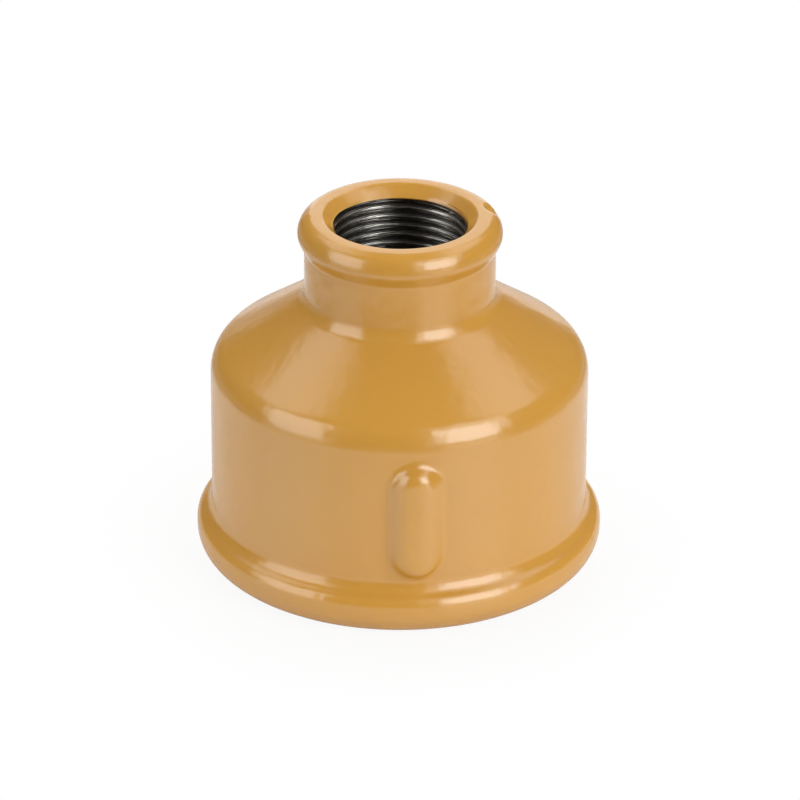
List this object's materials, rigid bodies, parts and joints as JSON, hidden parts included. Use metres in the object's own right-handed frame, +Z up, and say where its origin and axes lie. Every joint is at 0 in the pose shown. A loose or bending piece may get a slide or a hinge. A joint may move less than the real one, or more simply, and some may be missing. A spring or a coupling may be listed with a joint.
{
  "type": "reducing coupling",
  "caption": "Banded reducing coupling for threaded iron pipe: a wide socket steps down through a coned shoulder to a narrow socket, with rounded end bands and upright grip ribs.",
  "frame": {"origin": "centre of the large end's face, which it stands on", "axes": "+Z up along the common axis of both sockets, from the large end to the small end; the grip ribs are at -Y and +Y"},
  "size_m": [0.0754, 0.0754, 0.0675],
  "materials": {
    "ochre_coating": "glossy ochre epoxy coating on cast iron, with bare dark iron threads in both sockets"
  },
  "bodies": {
    "root": {"reducing_coupling": "ochre_coating"}
  },
  "joints": []
}
